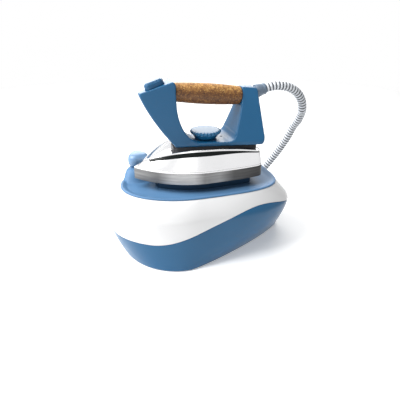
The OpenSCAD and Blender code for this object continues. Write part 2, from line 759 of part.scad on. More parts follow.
// Tube of radius r swept along a route of points
module tube(route, r, sides = 10) {
    n = len(route);
    dir = [for (i = [0:n - 1]) let (d = route[min(n - 1, i + 1)] - route[max(0, i - 1)]) d / norm(d)];
    side = [for (d = dir) let (s = cross([0, 0, 1], d)) norm(s) < 0.01 ? [0, 1, 0] : s / norm(s)];
    points = [for (i = [0:n - 1]) let (up = cross(dir[i], side[i])) for (k = [0:sides - 1])
        route[i] + r * (cos(360 * k / sides) * side[i] + sin(360 * k / sides) * up)];
    at = function (i, k) i * sides + k % sides;
    polyhedron(points = points, faces = concat(
        [[for (k = [0:sides - 1]) k]],
        [[for (k = [sides - 1:-1:0]) at(n - 1, k)]],
        [for (i = [0:n - 2]) for (k = [0:sides - 1])
            each [[at(i, k), at(i + 1, k), at(i + 1, k + 1)], [at(i, k), at(i + 1, k + 1), at(i, k + 1)]]]));
}

module hose_drop() { color("whitesmoke") tube(drop_route, hose_r); }
module hose_return() { color("whitesmoke") tube(return_route, hose_r); }

module hose_coil() {
    color("whitesmoke") translate([coil_at[0], coil_at[1], 0]) rotate_extrude() {
        for (z = [hose_r, 3 * hose_r]) translate([coil_r, z]) circle(r = hose_r, $fn = 32);
        translate([coil_r - hose_r, hose_r]) square([2 * hose_r, 2 * hose_r]);
    }
}

lower_shell();
upper_shell();
base_plate();
rubber_feet();
plate_screws();
tray();
iron_rest();
rest_pads();
filler_deck();
boiler_tank();
filler_neck();
heating_ring();
boiler_stand();
boiler_thermostat();
safety_valve();
pressure_switch();
steam_pipe();
solenoid_valve();
solenoid_coil();
outlet_pipe();
terminal_block();
mains_gland();
hose_gland();
switch_bezel();
rocker_boiler();
rocker_iron();
pilot_lamp();
cap_seal();
boiler_cap();
sole_plate();
sole_element();
chamber_lid();
sole_cover();
heat_spacer();
sole_thermostat();
thermal_fuse();
steam_riser();
iron_terminals();
handle_near();
handle_far();
handle_screws();
grip_rod();
cork_grip();
hose_collar();
micro_switch();
button_spring();
steam_button();
dial_spindle();
dial();
dial_pointer();
hose_drop();
hose_coil();
hose_return();
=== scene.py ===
"""A steam-generator clothes iron with a cork grip, standing on its blue and white boiler base.

Lengths are in millimetres in the part's own frame, and become metres where meshes are made.
"""
import json
import math
from collections import namedtuple
import bmesh
import bpy
import numpy as np
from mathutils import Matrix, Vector


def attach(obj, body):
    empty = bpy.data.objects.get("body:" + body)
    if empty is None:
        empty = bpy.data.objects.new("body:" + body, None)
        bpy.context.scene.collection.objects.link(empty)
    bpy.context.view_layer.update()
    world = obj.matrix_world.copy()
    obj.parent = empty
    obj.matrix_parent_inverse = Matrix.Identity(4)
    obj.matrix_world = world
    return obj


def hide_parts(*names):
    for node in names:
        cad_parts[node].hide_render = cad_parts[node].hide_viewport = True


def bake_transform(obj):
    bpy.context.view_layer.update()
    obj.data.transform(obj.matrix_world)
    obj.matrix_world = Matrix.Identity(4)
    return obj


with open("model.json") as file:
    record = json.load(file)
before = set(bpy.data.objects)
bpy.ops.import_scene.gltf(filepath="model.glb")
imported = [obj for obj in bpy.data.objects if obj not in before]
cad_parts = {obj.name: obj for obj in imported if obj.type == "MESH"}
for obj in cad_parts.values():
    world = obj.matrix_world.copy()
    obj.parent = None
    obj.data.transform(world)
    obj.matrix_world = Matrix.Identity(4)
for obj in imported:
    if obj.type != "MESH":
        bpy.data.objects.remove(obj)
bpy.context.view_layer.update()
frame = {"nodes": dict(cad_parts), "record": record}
NODES = frame["nodes"]
MM = 0.001

# The iron's own origin on the base: x at its nose, z at the sole's lower face
NOSE_X, SOLE_Z = -108, 129
SOLE_LEN = 210


# ---- camera and light ----

CAMERA_AT = (-0.17737, -0.61734, 0.39924)
CAMERA_TILT, CAMERA_TURN = 63, -16.5
LIGHT_AIM = (0, 0, 0.1)
SKY_SEEN, SKY_ON_SURFACES = 1.0, 0.25


def add_light(name, place, size, watts):
    """A square soft light at place, in metres, facing the appliance."""
    light = bpy.data.lights.new(name, "AREA")
    light.size = size
    light.energy = watts
    lamp = bpy.data.objects.new(name, light)
    lamp.location = place
    lamp.rotation_euler = (Vector(LIGHT_AIM) - Vector(place)).to_track_quat("-Z", "Y").to_euler()
    bpy.context.scene.collection.objects.link(lamp)


def make_camera():
    """The camera, in front of the appliance and a little to its left, looking down on it."""
    data = bpy.data.cameras.new("camera")
    data.sensor_width = 36
    data.lens = 36
    data.clip_start = 0.01
    camera = bpy.data.objects.new("camera", data)
    camera.location = CAMERA_AT
    camera.rotation_euler = (math.radians(CAMERA_TILT), 0, math.radians(CAMERA_TURN))
    bpy.context.scene.collection.objects.link(camera)
    bpy.context.scene.camera = camera


def make_studio():
    """A white studio. The sky is seen and mirrored at full white, but lights the surfaces at a
    quarter of that, so that the four lamps shape them."""
    bpy.context.scene.view_settings.view_transform = "Standard"
    world = bpy.data.worlds.new("studio")
    world.use_nodes = True
    nodes, links = world.node_tree.nodes, world.node_tree.links
    sky = nodes["Background"]
    sky.inputs["Color"].default_value = (1, 1, 1, 1)
    ray = nodes.new("ShaderNodeLightPath")
    strength = nodes.new("ShaderNodeMapRange")
    strength.inputs["To Min"].default_value = SKY_SEEN
    strength.inputs["To Max"].default_value = SKY_ON_SURFACES
    links.new(ray.outputs["Is Diffuse Ray"], strength.inputs["Value"])
    links.new(strength.outputs["Result"], sky.inputs["Strength"])
    bpy.context.scene.world = world
    add_light("key_light", (-2.4, 0.3, 2.3), 2.4, 195)
    add_light("back_light", (0.4, 3.1, 1.8), 2.6, 70)
    add_light("top_light", (-0.4, -0.3, 3.0), 1.8, 28)
    add_light("front_light", (-0.6, -1.7, 0.6), 0.9, 2)


make_camera()
make_studio()


# ---- small mathematics ----

def mix(a, b, k):
    """The value k of the way from a to b."""
    return a + (b - a) * k


def ease(v):
    """A smooth step: 0 up to v = 0, and 1 from v = 1 on."""
    k = np.clip(v, 0, 1)
    return k * k * (3 - 2 * k)


def bent(v, e):
    """v to the power e, with its sign kept."""
    return np.sign(v) * np.abs(v) ** e


def cosd(a):
    """The cosine of a in degrees."""
    return np.cos(np.radians(a))


def sind(a):
    """The sine of a in degrees."""
    return np.sin(np.radians(a))


def even_angles(outline, count):
    """Angles at which a closed outline's points lie evenly spaced along it."""
    t = np.linspace(0, 360, 36001)
    points = outline(t)
    steps = np.hypot(*np.diff(points, axis=0).T)
    along = np.concatenate([[0], np.cumsum(steps)])
    return np.interp(np.arange(count) * along[-1] / count, along, t)


# ---- mesh building ----

def new_object(name, points, faces, materials, indices):
    """A smooth-shaded mesh object from points in millimetres, with its faces turned outward.
    indices gives each face its material."""
    mesh = bpy.data.meshes.new(name)
    mesh.from_pydata([tuple(float(v) * MM for v in p) for p in points], [], faces)
    for material in materials:
        mesh.materials.append(material)
    mesh.polygons.foreach_set("material_index", indices)
    work = bmesh.new()
    work.from_mesh(mesh)
    bmesh.ops.remove_doubles(work, verts=work.verts, dist=1e-6)
    bmesh.ops.recalc_face_normals(work, faces=work.faces)
    work.to_mesh(mesh)
    work.free()
    mesh.shade_smooth()
    obj = bpy.data.objects.new(name, mesh)
    bpy.context.scene.collection.objects.link(obj)
    return obj


def loft(name, rings, materials, row_material=None, closed=True, caps=False):
    """Rings of equal length joined into a skin. closed joins the last ring to the first, caps
    fills the end rings, and row_material gives each row of faces its material."""
    rings = [np.asarray(r, float) for r in rings]
    count = len(rings[0])
    rows = len(rings) if closed else len(rings) - 1
    faces = []
    indices = []
    for j in range(rows):
        a = j * count
        b = (j + 1) % len(rings) * count
        for i in range(count):
            n = (i + 1) % count
            faces.append((a + i, a + n, b + n, b + i))
            indices.append(row_material[j] if row_material else 0)
    if caps:
        last = (len(rings) - 1) * count
        faces += [tuple(range(count)), tuple(range(last, last + count))]
        indices += [indices[0], indices[-1]]
    return new_object(name, np.concatenate(rings), faces, materials, indices)


def lathe(name, profile, material, place, axis=(0, 0, 1), count=96, reach=None):
    """A profile of (radius, height) turned about axis through place. reach scales the radius by
    angle, radius and height, for lobes and scallops."""
    turn = Vector((0, 0, 1)).rotation_difference(Vector(axis)).to_matrix()
    rings = []
    for r, h in profile:
        ring = []
        for i in range(count):
            a = 360 * i / count
            radius = r * (reach(a, r, h) if reach else 1)
            ring.append(turn @ Vector((radius * cosd(a), radius * sind(a), h)) + Vector(place))
        rings.append(ring)
    return loft(name, rings, [material], closed=False, caps=True)


def rounded(profile, radius, steps):
    """A profile with every corner but its ends turned into a curve. The curve starts and ends
    radius away from the corner, or nearer where the profile's own lines are short."""
    out = [profile[0]]
    for before, corner, after in zip(profile, profile[1:], profile[2:]):
        before, corner, after = (np.array(p, float) for p in (before, corner, after))
        a = before - corner
        b = after - corner
        reach = min(radius, np.linalg.norm(a) * 0.45, np.linalg.norm(b) * 0.45)
        start = corner + a / np.linalg.norm(a) * reach
        end = corner + b / np.linalg.norm(b) * reach
        for k in np.linspace(0, 1, steps + 1):
            out.append(tuple(mix(mix(start, corner, k), mix(corner, end, k), k)))
    out.append(profile[-1])
    return out


def bevel(obj, width):
    """Rounds an object's sharp edges by width millimetres."""
    mod = obj.modifiers.new("soft_edges", "BEVEL")
    mod.width = width * MM
    mod.segments = 3
    mod.limit_method = "ANGLE"
    mod.angle_limit = math.radians(35)
    mod.harden_normals = True


# ---- materials ----

def colour_ramp(tree, fac, stops):
    """A node that turns fac into colours by a list of (position, colour), and its output."""
    node = tree.nodes.new("ShaderNodeValToRGB")
    first, last = node.color_ramp.elements
    first.position, first.color = stops[0][0], (*stops[0][1], 1)
    last.position, last.color = stops[-1][0], (*stops[-1][1], 1)
    for position, colour in stops[1:-1]:
        node.color_ramp.elements.new(position).color = (*colour, 1)
    tree.links.new(fac, node.inputs["Fac"])
    return node.outputs["Color"]


def colour_mix(tree, kind, factor):
    """A node that mixes its colours A and B."""
    node = tree.nodes.new("ShaderNodeMix")
    node.data_type = "RGBA"
    node.blend_type = kind
    node.inputs["Factor"].default_value = factor
    return node


def link_noise(tree, scale, detail, low, high, socket, stretch=(1, 1, 1), tint=None):
    """Noise in the object's own space, mapped to low..high or to two colours, into a socket."""
    nodes = tree.nodes
    place = nodes.new("ShaderNodeTexCoord")
    shift = nodes.new("ShaderNodeMapping")
    shift.inputs["Scale"].default_value = stretch
    noise = nodes.new("ShaderNodeTexNoise")
    noise.inputs["Scale"].default_value = scale
    noise.inputs["Detail"].default_value = detail
    tree.links.new(place.outputs["Object"], shift.inputs["Vector"])
    tree.links.new(shift.outputs["Vector"], noise.inputs["Vector"])
    if tint:
        colour = colour_ramp(tree, noise.outputs["Fac"], [(low, tint[0]), (high, tint[1])])
        tree.links.new(colour, socket)
    else:
        span = nodes.new("ShaderNodeMapRange")
        span.inputs["To Min"].default_value = low
        span.inputs["To Max"].default_value = high
        tree.links.new(noise.outputs["Fac"], span.inputs["Value"])
        tree.links.new(span.outputs["Result"], socket)
    return noise


def link_bump(tree, height, strength, depth_mm):
    """Relief of depth_mm on the surface, from a height."""
    bump = tree.nodes.new("ShaderNodeBump")
    bump.inputs["Strength"].default_value = strength
    bump.inputs["Distance"].default_value = depth_mm * MM
    tree.links.new(height, bump.inputs["Height"])
    tree.links.new(bump.outputs["Normal"], tree.nodes["Principled BSDF"].inputs["Normal"])


def new_material(name, metallic=0.0, coat=0.0):
    """A material with its node tree and its shader."""
    material = bpy.data.materials.new(name)
    material.use_nodes = True
    shader = material.node_tree.nodes["Principled BSDF"]
    shader.inputs["Metallic"].default_value = metallic
    shader.inputs["Coat Weight"].default_value = coat
    shader.inputs["Coat Roughness"].default_value = 0.08
    return material, material.node_tree, shader


def plastic(name, dark, light, rough=(0.25, 0.35), coat=0.0, grain=0.02, grain_scale=900, shine=0.5):
    """Moulded plastic: a faint drift of colour, uneven gloss and a fine moulded grain."""
    material, tree, shader = new_material(name, coat=coat)
    shader.inputs["Specular IOR Level"].default_value = shine
    link_noise(tree, 7, 2, 0.35, 0.65, shader.inputs["Base Color"], tint=(dark, light))
    link_noise(tree, 30, 4, rough[0], rough[1], shader.inputs["Roughness"])
    place = tree.nodes.new("ShaderNodeTexCoord")
    grain_noise = tree.nodes.new("ShaderNodeTexNoise")
    tree.links.new(place.outputs["Object"], grain_noise.inputs["Vector"])
    grain_noise.inputs["Scale"].default_value = grain_scale
    grain_noise.inputs["Detail"].default_value = 2
    link_bump(tree, grain_noise.outputs["Fac"], 0.5, grain)
    return material


def metal(name, dark, light, rough=(0.2, 0.35), stretch=(1, 1, 1), scale=60, edge=1.0):
    """Metal with uneven tone and gloss, drawn into streaks along the axis whose stretch is the
    least. edge under 1 darkens what it mirrors at a grazing angle."""
    material, tree, shader = new_material(name, metallic=1.0)
    shader.inputs["Specular Tint"].default_value = (edge, edge, edge, 1)
    link_noise(tree, scale, 5, 0.35, 0.65, shader.inputs["Base Color"], stretch, (dark, light))
    link_noise(tree, scale * 3, 6, rough[0], rough[1], shader.inputs["Roughness"], stretch)
    return material


def cork_material():
    """Pressed cork: warm granules of mixed tone, and shallow pits. It is painted paler where it
    faces up, to look strongly lit from above, which isn't a trait of the cork."""
    material, tree, shader = new_material("cork")
    nodes = tree.nodes
    place = nodes.new("ShaderNodeTexCoord")
    grains = nodes.new("ShaderNodeTexVoronoi")
    grains.inputs["Scale"].default_value = 600
    tree.links.new(place.outputs["Object"], grains.inputs["Vector"])
    tone = nodes.new("ShaderNodeSeparateColor")
    tree.links.new(grains.outputs["Color"], tone.inputs["Color"])
    granules = colour_ramp(tree, tone.outputs["Red"], [
        (0.0, (0.055, 0.019, 0.004)), (0.16, (0.110, 0.040, 0.008)), (0.5, (0.165, 0.065, 0.013)),
        (0.85, (0.225, 0.100, 0.022)), (1.0, (0.310, 0.160, 0.042))])
    drift = nodes.new("ShaderNodeTexNoise")
    drift.inputs["Scale"].default_value = 60
    drift.inputs["Detail"].default_value = 3
    tree.links.new(place.outputs["Object"], drift.inputs["Vector"])
    wash = colour_ramp(tree, drift.outputs["Fac"], [(0.35, (0.62, 0.55, 0.5)), (0.65, (1, 1, 1))])
    washed = colour_mix(tree, "MULTIPLY", 0.7)
    tree.links.new(granules, washed.inputs["A"])
    tree.links.new(wash, washed.inputs["B"])
    facing = nodes.new("ShaderNodeSeparateXYZ")
    tree.links.new(place.outputs["Normal"], facing.inputs["Vector"])
    upward = nodes.new("ShaderNodeMapRange")
    upward.interpolation_type = "SMOOTHSTEP"
    upward.inputs["From Min"].default_value = 0.1
    tree.links.new(facing.outputs["Z"], upward.inputs["Value"])
    gain = colour_mix(tree, "MIX", 0.5)
    gain.inputs["A"].default_value = (0.95, 0.92, 0.90, 1)
    gain.inputs["B"].default_value = (2.9, 3.5, 4.4, 1)
    tree.links.new(upward.outputs["Result"], gain.inputs["Factor"])
    painted = colour_mix(tree, "MULTIPLY", 1.0)
    tree.links.new(washed.outputs["Result"], painted.inputs["A"])
    tree.links.new(gain.outputs["Result"], painted.inputs["B"])
    tree.links.new(painted.outputs["Result"], shader.inputs["Base Color"])
    shader.inputs["Roughness"].default_value = 0.5
    link_bump(tree, grains.outputs["Distance"], 0.6, 0.25)
    return material


def sole_material():
    """Brushed aluminium, painted in bands of tone along the sole. They stand for what its bare
    edge mirrors, and aren't marks on it."""
    material, tree, shader = new_material("sole_aluminium", metallic=1.0)
    nodes = tree.nodes
    place = nodes.new("ShaderNodeTexCoord")
    split = nodes.new("ShaderNodeSeparateXYZ")
    tree.links.new(place.outputs["Object"], split.inputs["Vector"])
    along = nodes.new("ShaderNodeMapRange")
    along.inputs["From Min"].default_value = NOSE_X * MM
    along.inputs["From Max"].default_value = (NOSE_X + SOLE_LEN) * MM
    tree.links.new(split.outputs["X"], along.inputs["Value"])
    greys = [(0.0, 0.24), (0.16, 0.19), (0.26, 0.42), (0.42, 0.44), (0.50, 0.22), (0.62, 0.28),
             (0.74, 0.10), (1.0, 0.06)]
    bands = colour_ramp(tree, along.outputs["Result"], [(at, (grey,) * 3) for at, grey in greys])
    blend = colour_mix(tree, "MULTIPLY", 1.0)
    tree.links.new(bands, blend.inputs["A"])
    brushed = ((0.60, 0.60, 0.61), (1, 1, 1))
    link_noise(tree, 30, 6, 0.3, 0.7, blend.inputs["B"], (0.6, 0.6, 8), brushed)
    tree.links.new(blend.outputs["Result"], shader.inputs["Base Color"])
    brush = link_noise(tree, 60, 6, 0.28, 0.42, shader.inputs["Roughness"], (0.3, 0.3, 8))
    link_bump(tree, brush.outputs["Fac"], 0.5, 0.02)
    return material


def lens_material():
    """The lamp's amber lens, which lets some light through."""
    material, tree, shader = new_material("amber_lens", coat=0.6)
    amber = ((0.75, 0.22, 0.02), (0.9, 0.4, 0.06))
    link_noise(tree, 200, 2, 0.3, 0.7, shader.inputs["Base Color"], tint=amber)
    shader.inputs["Roughness"].default_value = 0.15
    shader.inputs["Transmission Weight"].default_value = 0.4
    return material


BLUE = plastic("blue_plastic", (0.004, 0.081, 0.190), (0.007, 0.092, 0.210), (0.26, 0.34), shine=0.4)
PALE_BLUE = plastic("tray_blue", (0.090, 0.200, 0.360), (0.110, 0.220, 0.385), (0.34, 0.42), shine=0.15)
CAP_BLUE = plastic("cap_blue", (0.13, 0.24, 0.40), (0.16, 0.28, 0.44), (0.30, 0.38))
DIAL_BLUE = plastic("dial_blue", (0.010, 0.108, 0.235), (0.014, 0.122, 0.258), (0.26, 0.34), shine=0.4)
# The iron rest's blue, painted much darker as painted shade from the iron standing above it
PAINTED_SHADE_BLUE = plastic("rest_blue_painted_shade", (0.004, 0.030, 0.070), (0.006, 0.040, 0.085), (0.35, 0.45))
WHITE = plastic("white_plastic", (0.660, 0.662, 0.668), (0.700, 0.702, 0.708), (0.10, 0.18), 0.5, 0.005)
DARK = plastic("dark_plastic", (0.006, 0.007, 0.010), (0.011, 0.012, 0.016), (0.4, 0.5), shine=0.22)
GREY = plastic("grey_plastic", (0.11, 0.16, 0.22), (0.14, 0.19, 0.26), (0.35, 0.45))
RED = plastic("red_plastic", (0.36, 0.02, 0.015), (0.44, 0.03, 0.02), (0.15, 0.22), 0.4)
HOSE_WHITE = plastic("white_hose", (0.66, 0.69, 0.73), (0.76, 0.79, 0.82), (0.30, 0.40))
# Painted shade for the grooves between the white hose's ribs
HOSE_GROOVE_SHADE = plastic("hose_painted_groove_shade", (0.05, 0.055, 0.065), (0.09, 0.10, 0.115), (0.5, 0.6))
RUBBER = plastic("rubber", (0.015, 0.015, 0.016), (0.03, 0.03, 0.03), (0.6, 0.75), 0, 0.05, 500)
COIL_RED = plastic("coil_red", (0.26, 0.03, 0.025), (0.34, 0.045, 0.035), (0.3, 0.4))
CERAMIC = plastic("ceramic_white", (0.70, 0.67, 0.60), (0.78, 0.76, 0.70), (0.55, 0.7), 0, 0.03, 400)
CHROME = metal("chrome", (0.80, 0.80, 0.81), (0.85, 0.85, 0.86), (0.20, 0.25), scale=12, edge=0.15)
SOLE = sole_material()
STAINLESS = metal("stainless", (0.45, 0.46, 0.48), (0.60, 0.61, 0.63), (0.22, 0.35), (0.15, 1, 1), 80)
STEEL = metal("steel", (0.50, 0.50, 0.52), (0.65, 0.65, 0.67), (0.2, 0.3), (1, 1, 0.2), 90)
SHEATH = metal("element_sheath", (0.12, 0.11, 0.10), (0.28, 0.26, 0.24), (0.4, 0.6), scale=50)
BRASS = metal("brass", (0.50, 0.36, 0.14), (0.68, 0.52, 0.24), (0.2, 0.35), scale=60)
COPPER = metal("copper", (0.52, 0.25, 0.15), (0.70, 0.36, 0.22), (0.2, 0.35), scale=60)
CORK = cork_material()
LENS = lens_material()
# A near-black painted reflection, laid in the band sunk in the chrome cover's wall
CHROME_DARK_REFLECTION = plastic("painted_dark_reflection", (0.004, 0.006, 0.006), (0.007, 0.010, 0.010), (0.2, 0.3), shine=0.12)

SLOT_LOOKS = {"blue_plastic": BLUE, "white_plastic": WHITE, "dark_plastic": DARK, "grey_plastic": GREY,
              "red_plastic": RED, "amber_lens": LENS, "rubber": RUBBER, "sole_aluminium": SOLE,
              "chrome": CHROME, "stainless": STAINLESS, "steel": STEEL, "element_sheath": SHEATH,
              "brass": BRASS, "copper": COPPER, "ceramic_white": CERAMIC, "coil_red": COIL_RED,
              "cork": CORK, "white_hose": HOSE_WHITE}


def dress_cad_nodes():
    """Gives each CAD node the finish of its slot in the record."""
    for row in frame["record"]["subparts"]:
        mesh = NODES[row["node"]].data
        mesh.materials.clear()
        mesh.materials.append(SLOT_LOOKS[row["material_slot"]])
        mesh.shade_smooth()
        mesh.set_sharp_from_angle(angle=math.radians(30))


dress_cad_nodes()


# ---- steam hose ----

HOSE_R = 8
COIL_R = 90
COIL_AT = (-10, 212)

# The same points as in the part's own source, from the iron to the coil and from the coil to the base
DROP_ROUTE = [
    (118, 0, 263), (132, 0, 266), (145, 0, 266), (160, 1, 263), (173, 3, 257), (185, 6, 248),
    (196, 11, 234), (202, 17, 220), (207, 26, 210), (209, 39, 191), (208, 52, 176), (205, 64, 152),
    (201, 76, 131), (195, 87, 110), (186, 97, 88), (174, 106, 66), (158, 113, 46), (139, 118, 30),
    (118, 121, 18), (96, 122, 11), (74, 122, 8), (52, 122, 8), (31, 122, 8), (10, 122, 8), (-10, 122, 8)]
RETURN_ROUTE = [(80, 212, 24), (80, 190, 25), (80, 168, 28), (80, 146, 33), (80, 124, 39),
                (80, 106, 43), (80, 92, 45), (80, 74, 45)]

# The coil starts at its near side, and turns and climbs are counted in whole turns
COIL_TURNS, COIL_POINTS = 1.75, 41
COIL_START = -90
CLIMB_FROM, CLIMB_OVER = 0.25, 1.25

# One rib in rows: its radius as a share of the hose's, and which rows are the gap, painted dark as shade in
# the groove
RIB_PITCH, RIB_SIDES = 6, 20
RIB_SWELL = [0.74, 0.74, 0.90, 0.98, 1.0, 1.0, 0.98, 0.90]
GAP_ROWS = (0, 1, 7)

# The ribs' radius falls short of the hose's by this much
HOSE_PLAY = 0.15


def hose_route():
    """The whole route: from the iron, down and along the table, round the coil and to the base.
    The coil climbs by one diameter after its first quarter turn, to lie on itself."""
    coil = []
    for i in range(1, COIL_POINTS + 1):
        turns = COIL_TURNS * i / (COIL_POINTS + 1)
        a = COIL_START - 360 * turns
        climb = 2 * HOSE_R * ease((turns - CLIMB_FROM) / CLIMB_OVER)
        coil.append((COIL_AT[0] + COIL_R * cosd(a), COIL_AT[1] + COIL_R * sind(a), HOSE_R + climb))
    return DROP_ROUTE + coil + RETURN_ROUTE


def smooth_route(points, step):
    """A Catmull-Rom curve through the points, sampled evenly about every step, and its length."""
    p = np.array(points, float)
    p = np.vstack([2 * p[0] - p[1], p, 2 * p[-1] - p[-2]])
    fine = []
    for a, b, c, d in zip(p, p[1:], p[2:], p[3:]):
        for k in np.linspace(0, 1, 16, endpoint=False):
            fine.append(0.5 * (2 * b + (c - a) * k + (2 * a - 5 * b + 4 * c - d) * k * k
                               + (3 * b - a - 3 * c + d) * k ** 3))
    fine.append(p[-2])
    fine = np.array(fine)
    along = np.concatenate([[0], np.cumsum(np.linalg.norm(np.diff(fine, axis=0), axis=1))])
    count = int(along[-1] / step)
    at = np.linspace(0, along[-1], count + 1)
    return np.stack([np.interp(at, along, fine[:, i]) for i in range(3)], 1), along[-1]


def make_hose():
    """Corrugated hose: round ribs along the route, with the gaps between them painted dark as shade."""
    rows_per_rib = len(RIB_SWELL)
    path, length = smooth_route(hose_route(), RIB_PITCH / rows_per_rib)
    tangent = np.gradient(path, axis=0)
    tangent /= np.linalg.norm(tangent, axis=1)[:, None]
    side = np.cross([0, 0, 1.0], tangent)
    side /= np.linalg.norm(side, axis=1)[:, None]
    lift = np.cross(tangent, side)
    around = 2 * np.pi * np.arange(RIB_SIDES) / RIB_SIDES
    rings = []
    for i, centre in enumerate(path):
        spoke = np.cos(around)[:, None] * side[i] + np.sin(around)[:, None] * lift[i]
        rings.append(centre + (HOSE_R - HOSE_PLAY) * RIB_SWELL[i % rows_per_rib] * spoke)
    # The gap rows take the painted groove shade
    rows = [1 if i % rows_per_rib in GAP_ROWS else 0 for i in range(len(rings) - 1)]
    hose = loft("steam_hose", rings, [HOSE_WHITE, HOSE_GROOVE_SHADE], rows, closed=False, caps=True)
    cord_points = [tuple(v * MM for v in p) for p in path[::rows_per_rib]]
    cord_points.append(tuple(v * MM for v in path[-1]))
    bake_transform(hose)
    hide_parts("hose_drop", "hose_coil", "hose_return")


make_hose()


# ---- base shells ----

# A plan outline: where its front and rear halves meet on X, its half width, how far each half
# reaches, and the powers that bend each half's x and y away from an ellipse, which has 1
Outline = namedtuple("Outline", "middle half_width front rear front_x front_y rear_x rear_y")

RIM_Z, BELT_Z, BASE_Z, WALL = 114, 84, 1.6, 3
FOOT = Outline(-42, 106, 94, 204, 1, 1, 1.75, 1.6)
BELT = Outline(-27, 103, 134, 188, 1.05, 1, 0.7, 0.64)
RIM = Outline(-13, 80, 120, 147, 1, 1, 0.52, 0.52)
TAIL_FROM, TAIL_OVER = -60, 200
LOW_BULGE, HIGH_BULGE = (1.9, 1.5), (1.7, 1.25)
SPLIT_LOW, SPLIT_HIGH, SEAM_GAP = 47, 95, 0.4
SPLIT_FROM, SPLIT_OVER = -103, 185
DIP, DIP_FROM, DIP_OVER = 20, 82, 80
SHELL_POINTS = 420
TRAY_TOP, TRAY_FLOOR = RIM_Z + 3, RIM_Z - 1


def plan_point(outline, t, inset=0):
    """Points of a plan outline at the angles t, where 180 is the front."""
    c, s = cosd(t), sind(t)
    front = c < 0
    x_bend = np.where(front, outline.front_x, outline.rear_x)
    y_bend = np.where(front, outline.front_y, outline.rear_y)
    reach = np.where(front, outline.front, outline.rear) - inset
    x = outline.middle + reach * bent(c, x_bend)
    return np.stack([x, (outline.half_width - inset) * bent(s, y_bend)], -1)


def shell_point(t, z, inset=0):
    """Points of the base's side at the angles t and heights z: from the foot's outline it swells
    to the belt's, and then draws in to the rim's."""
    tail = ease((plan_point(BELT, t)[..., 0] - TAIL_FROM) / TAIL_OVER)[..., None]
    z = np.asarray(z, float)
    to_belt = np.clip(1 - z / BELT_Z, 0, 1)[..., None]
    to_rim = np.clip((z - BELT_Z) / (RIM_Z - BELT_Z), 0, 1)[..., None]
    low = 1 - np.power(to_belt, mix(*LOW_BULGE, tail))
    high = np.power(to_rim, mix(*HIGH_BULGE, tail))
    below = mix(plan_point(FOOT, t, inset), plan_point(BELT, t, inset), low)
    above = mix(plan_point(BELT, t, inset), plan_point(RIM, t, inset), high)
    xy = np.where(z[..., None] < BELT_Z, below, above)
    return np.concatenate([xy, z[..., None]], -1)


def split_z(t):
    """Height of the line between the blue and the white shell: it climbs to the rear, and dips
    again at the very end."""
    x = plan_point(BELT, t)[..., 0]
    climb = mix(SPLIT_LOW, SPLIT_HIGH, ease((x - SPLIT_FROM) / SPLIT_OVER))
    return climb - DIP * np.maximum(0, (x - DIP_FROM) / DIP_OVER) ** 2


def shell_skin(name, low, high, rows, material, node):
    """A shell from low(t) to high(t), with rounded lips and its wall's thickness."""
    t = even_angles(lambda a: plan_point(BELT, a) * 0.5 + plan_point(RIM, a) * 0.5, SHELL_POINTS)
    round_off, wall_rows = 0.45, 8
    lip = [(0.0, WALL * 0.5), (0.0, round_off), (0.12, 0.12), (round_off, 0.0)]
    rings = []
    for rise, inset in lip:
        rings.append(shell_point(t, low(t) + rise, inset))
    for k in np.linspace(0, 1, rows)[1:-1]:
        rings.append(shell_point(t, mix(low(t) + round_off, high(t) - round_off, k)))
    for rise, inset in reversed(lip):
        rings.append(shell_point(t, high(t) - rise, inset))
    for k in np.linspace(1, 0, wall_rows):
        rings.append(shell_point(t, mix(low(t), high(t), k), WALL))
    shell = loft(name, rings, [material])
    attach(shell, "base")
    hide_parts(node)
    return shell


def make_shells():
    """The blue lower shell and the white upper one, with a narrow seam between them."""
    def foot(t):
        return np.full_like(t, BASE_Z)

    def brim(t):
        return np.full_like(t, RIM_Z)

    def seam_low(t):
        return split_z(t) - SEAM_GAP / 2

    def seam_high(t):
        return split_z(t) + SEAM_GAP / 2

    lower = shell_skin("blue_lower_shell", foot, seam_low, 34, BLUE, "lower_shell")
    upper = shell_skin("white_upper_shell", seam_high, brim, 38, WHITE, "upper_shell")


make_shells()


# ---- tray with its mound ----

NECK_AT = (-95, 44.5)
MOUND_TOP = 133
MOUND_TURN = 43
MOUND_FLAT, MOUND_END, MOUND_STRETCH = 13, 31, 1.35
DECK_RISE, DECK_SLOPE = 5.5, 3
DECK_FRONT, DECK_TURN = (-119.5, 32), -22
DECK_END, DECK_FADE = -58, 20


def mound_z(x, y):
    """Height of the low deck across the tray's nose, and of the mound on it round the filler neck."""
    ahead = (x - DECK_FRONT[0]) * -sind(DECK_TURN) + (y - DECK_FRONT[1]) * cosd(DECK_TURN)
    deck = DECK_RISE * ease(ahead / DECK_SLOPE + 0.5) * ease((DECK_END - x) / DECK_FADE)
    u = (x - NECK_AT[0]) * cosd(MOUND_TURN) + (y - NECK_AT[1]) * sind(MOUND_TURN)
    v = -(x - NECK_AT[0]) * sind(MOUND_TURN) + (y - NECK_AT[1]) * cosd(MOUND_TURN)
    d = np.hypot(u / MOUND_STRETCH, v)
    k = np.clip((d - MOUND_FLAT) / (MOUND_END - MOUND_FLAT), 0, 1)
    rise = MOUND_TOP - TRAY_FLOOR - deck
    return TRAY_FLOOR + deck + rise * 0.5 * (1 + np.cos(np.pi * k))


